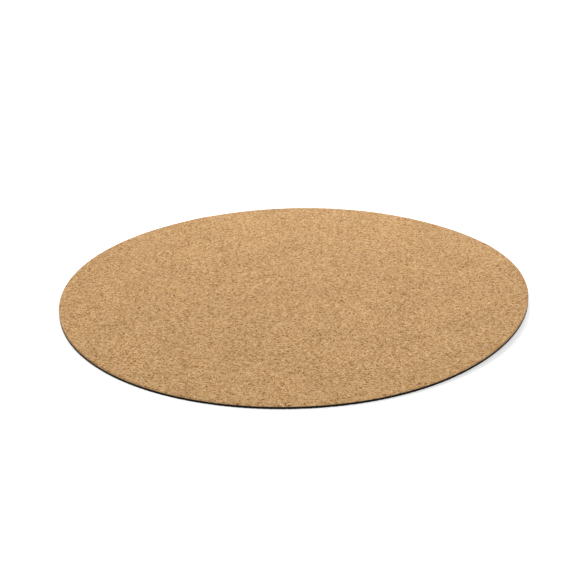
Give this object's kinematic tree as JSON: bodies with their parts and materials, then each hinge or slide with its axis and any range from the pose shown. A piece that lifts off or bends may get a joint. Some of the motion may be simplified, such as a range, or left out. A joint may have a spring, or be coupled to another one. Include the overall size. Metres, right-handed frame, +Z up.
{
  "type": "mouse pad",
  "caption": "Round desk mouse pad: a thin agglomerated cork sheet glued to a black non-slip rubber base, its left and right edges curled up slightly.",
  "frame": {"origin": "on the desk under the middle of the pad", "axes": "+Z up out of the cork face, +X towards the edge that is curled up more, Y along the flat strip that the pad lies on"},
  "size_m": [0.2, 0.2, 0.0043],
  "materials": {
    "cork": "matte",
    "glue": "satin",
    "rubber": "matte"
  },
  "bodies": {
    "root": {"rubber_base": "rubber", "glue_film": "glue", "cork_sheet": "cork"}
  },
  "joints": []
}
